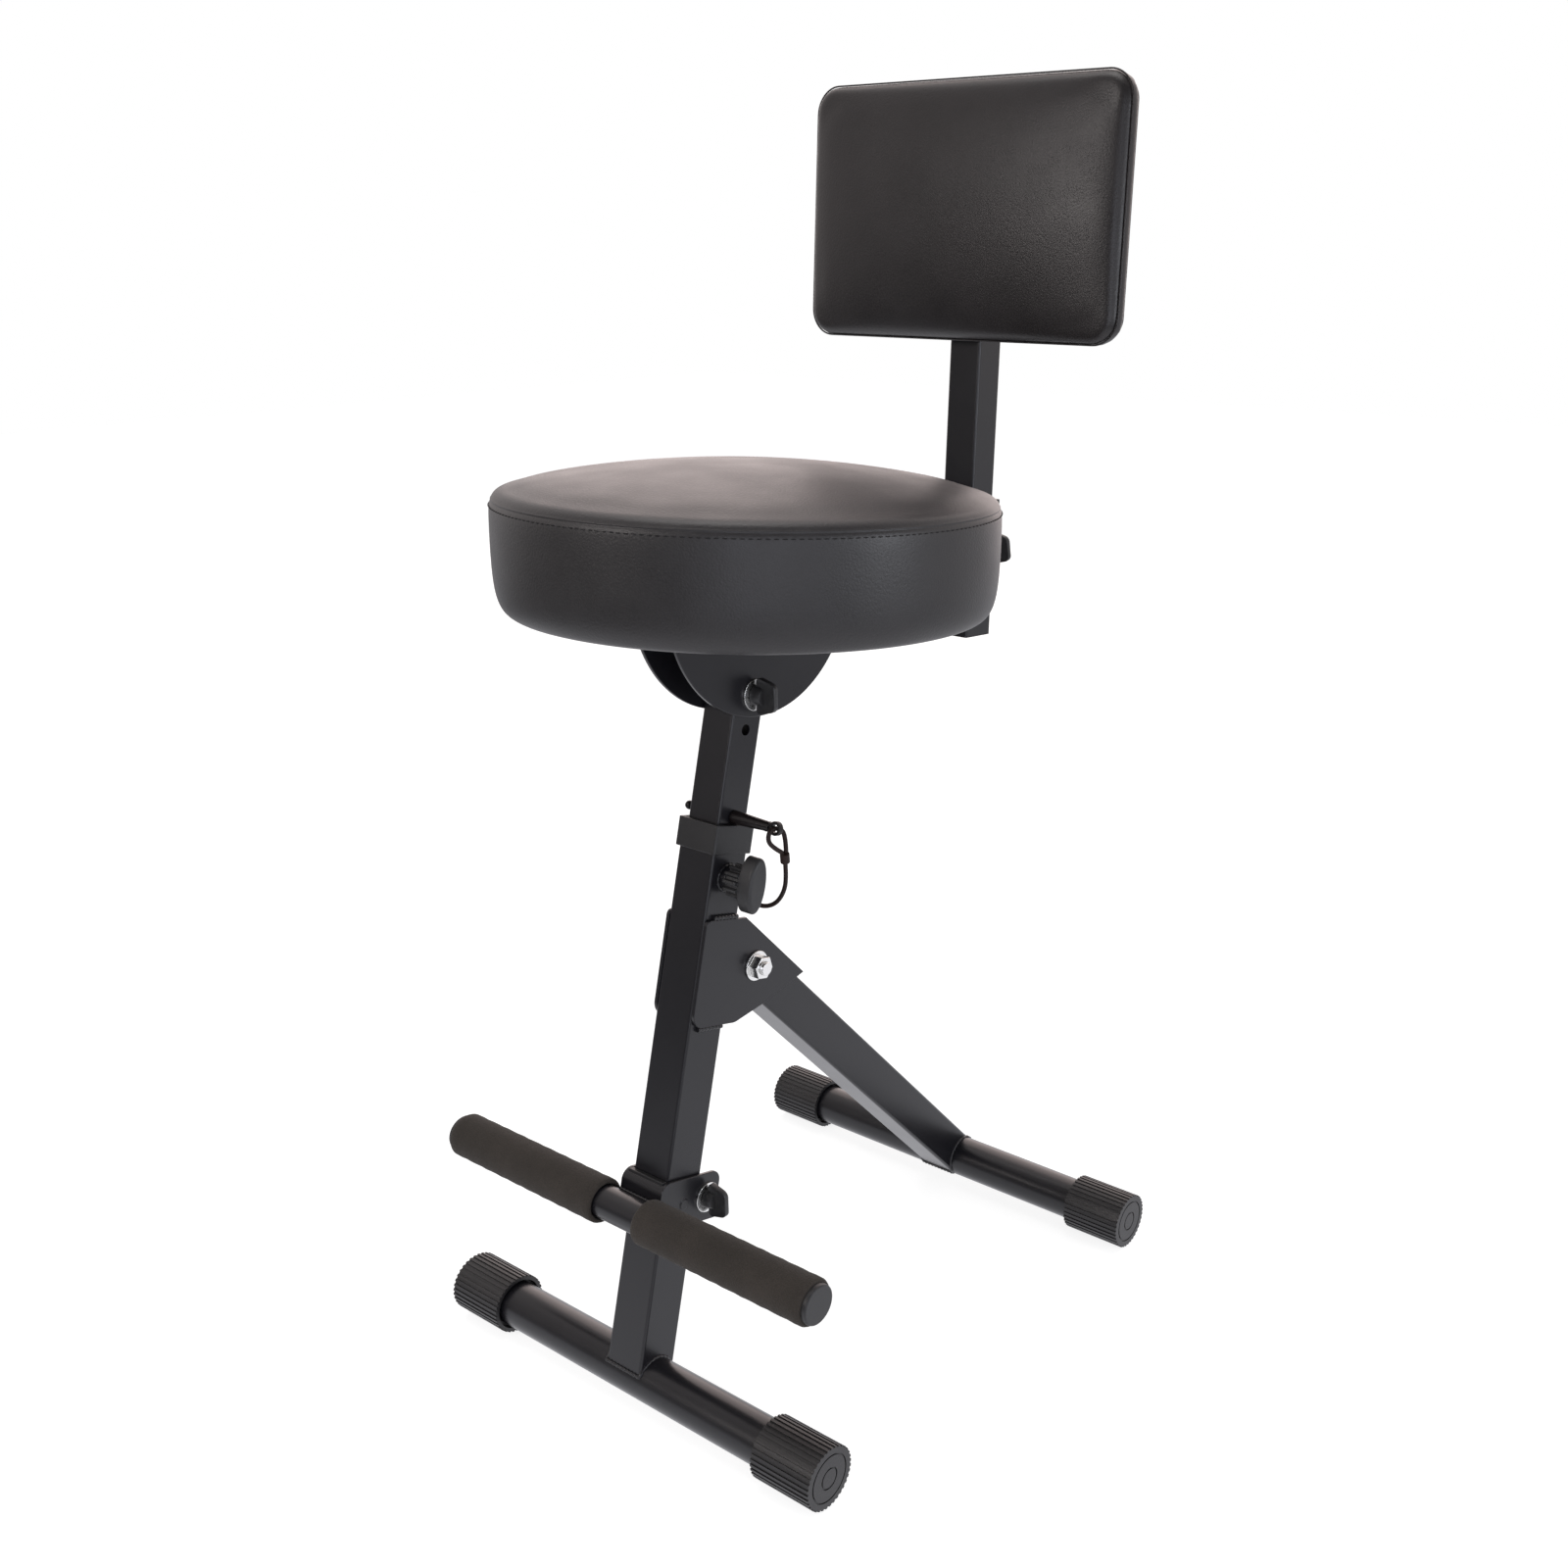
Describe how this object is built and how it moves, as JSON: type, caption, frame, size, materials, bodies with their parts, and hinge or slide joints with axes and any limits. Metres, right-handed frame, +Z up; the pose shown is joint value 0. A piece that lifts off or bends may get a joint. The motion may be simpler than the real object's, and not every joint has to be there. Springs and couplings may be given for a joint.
{
  "type": "guitar stool",
  "caption": "Guitar stool with a round padded seat, a padded rectangular backrest, a foam-covered footrest bar and a hinged rear leg; a pin and a knob hold its height.",
  "frame": {"origin": "on the floor, at the middle of the stool's bounding box", "axes": "+Z is up, -Y is the front, where the footrest is, and +X is the side with the knobs and the locking pin"},
  "size_m": [0.393, 0.4825, 0.9512],
  "materials": {
    "satin_black_paint": "satin powder coat",
    "ribbed_rubber": "matt, finely ribbed",
    "black_plastic": "matt moulded",
    "knob_plastic": "moulded, lightly textured",
    "blackened_steel": "semi-gloss black",
    "zinc": "bright zinc plate",
    "cord_sheath": "soft black sheath",
    "foam": "closed-cell foam, matt",
    "faux_leather": "coated fabric with a fine leather grain, semi-gloss",
    "plywood": "bare plywood"
  },
  "bodies": {
    "frame": {"front_foot_bar": "satin_black_paint", "front_foot_caps": "ribbed_rubber", "outer_post": "satin_black_paint", "post_collar": "black_plastic", "knob_boss": "satin_black_paint", "bracket_plates": "satin_black_paint", "bracket_stop": "satin_black_paint", "pivot_bolt": "zinc", "pivot_nut": "zinc"},
    "rear_leg": {"rear_strut": "satin_black_paint", "rear_foot_bar": "satin_black_paint", "rear_foot_caps": "ribbed_rubber", "hinge_bush": "zinc"},
    "height_clamp": {"height_knob": "knob_plastic", "knob_screw": "zinc"},
    "seat_post": {"inner_post": "satin_black_paint", "inner_post_guide": "black_plastic", "inner_post_cap": "black_plastic"},
    "pin": {"locking_pin": "blackened_steel", "lanyard_ferrule": "cord_sheath", "pin_lanyard": "cord_sheath"},
    "seat": {"seat_yoke": "satin_black_paint", "seat_board": "plywood", "seat_cushion": "faux_leather", "seat_screws": "zinc", "seat_bolt_washer": "zinc", "seat_bolt_nut": "zinc", "backrest_arm": "satin_black_paint", "backrest_socket": "satin_black_paint", "socket_collar": "black_plastic", "socket_boss": "satin_black_paint", "backrest_bolt_washer": "zinc"},
    "seat_clamp": {"seat_wing_bolt": "knob_plastic"},
    "backrest": {"backrest_tube": "satin_black_paint", "backrest_tube_cap": "black_plastic", "backrest_board": "plywood", "backrest_cushion": "faux_leather", "backrest_bolts": "zinc"},
    "backrest_clamp": {"backrest_wing_bolt": "knob_plastic"},
    "footrest": {"footrest_clamp": "satin_black_paint", "clamp_pad": "black_plastic", "footrest_bolt_nut": "zinc", "footrest_bolt_washer": "zinc", "footrest_tube": "satin_black_paint", "foam_sleeves": "foam", "footrest_plugs": "black_plastic"},
    "footrest_screw": {"footrest_wing_bolt": "knob_plastic"}
  },
  "joints": [
    {"name": "rear_leg_fold", "type": "hinge", "parent": "frame", "child": "rear_leg", "pos_m": [0, -0.0948, 0.31645], "axis": [-1, 0, 0], "range_deg": [0, 50]},
    {"name": "height_knob_turn", "type": "hinge", "parent": "frame", "child": "height_clamp", "pos_m": [0, -0.11738, 0.39326], "axis": [1, 0, 0], "range_deg": [0, 360]},
    {"name": "seat_post_slide", "type": "slide", "parent": "frame", "child": "seat_post", "axis": [0, 0.2576, 0.9662], "range_m": [0, 0.127], "deforming": ["pin_lanyard"]},
    {"name": "locking_pin_pull", "type": "slide", "parent": "seat_post", "child": "pin", "axis": [1, 0, 0], "range_m": [0, 0.05], "deforming": ["pin_lanyard"]},
    {"name": "seat_tilt", "type": "hinge", "parent": "seat_post", "child": "seat", "pos_m": [0, -0.08285, 0.52274], "axis": [1, 0, 0], "range_deg": [-10, 75]},
    {"name": "seat_wing_bolt_turn", "type": "hinge", "parent": "seat", "child": "seat_clamp", "pos_m": [0, -0.08285, 0.52274], "axis": [1, 0, 0], "range_deg": [0, 360]},
    {"name": "backrest_slide", "type": "slide", "parent": "seat", "child": "backrest", "axis": [0, 0.0785, 0.9969], "range_m": [-0.025, 0.05]},
    {"name": "backrest_wing_bolt_turn", "type": "hinge", "parent": "seat", "child": "backrest_clamp", "pos_m": [0, 0.19919, 0.58877], "axis": [1, 0, 0], "range_deg": [0, 360]},
    {"name": "footrest_slide", "type": "slide", "parent": "frame", "child": "footrest", "axis": [0, 0.2576, 0.9662], "range_m": [-0.08, 0.05]},
    {"name": "footrest_wing_bolt_turn", "type": "hinge", "parent": "footrest", "child": "footrest_screw", "pos_m": [0, -0.15731, 0.15035], "axis": [1, 0, 0], "range_deg": [0, 360]}
  ]
}
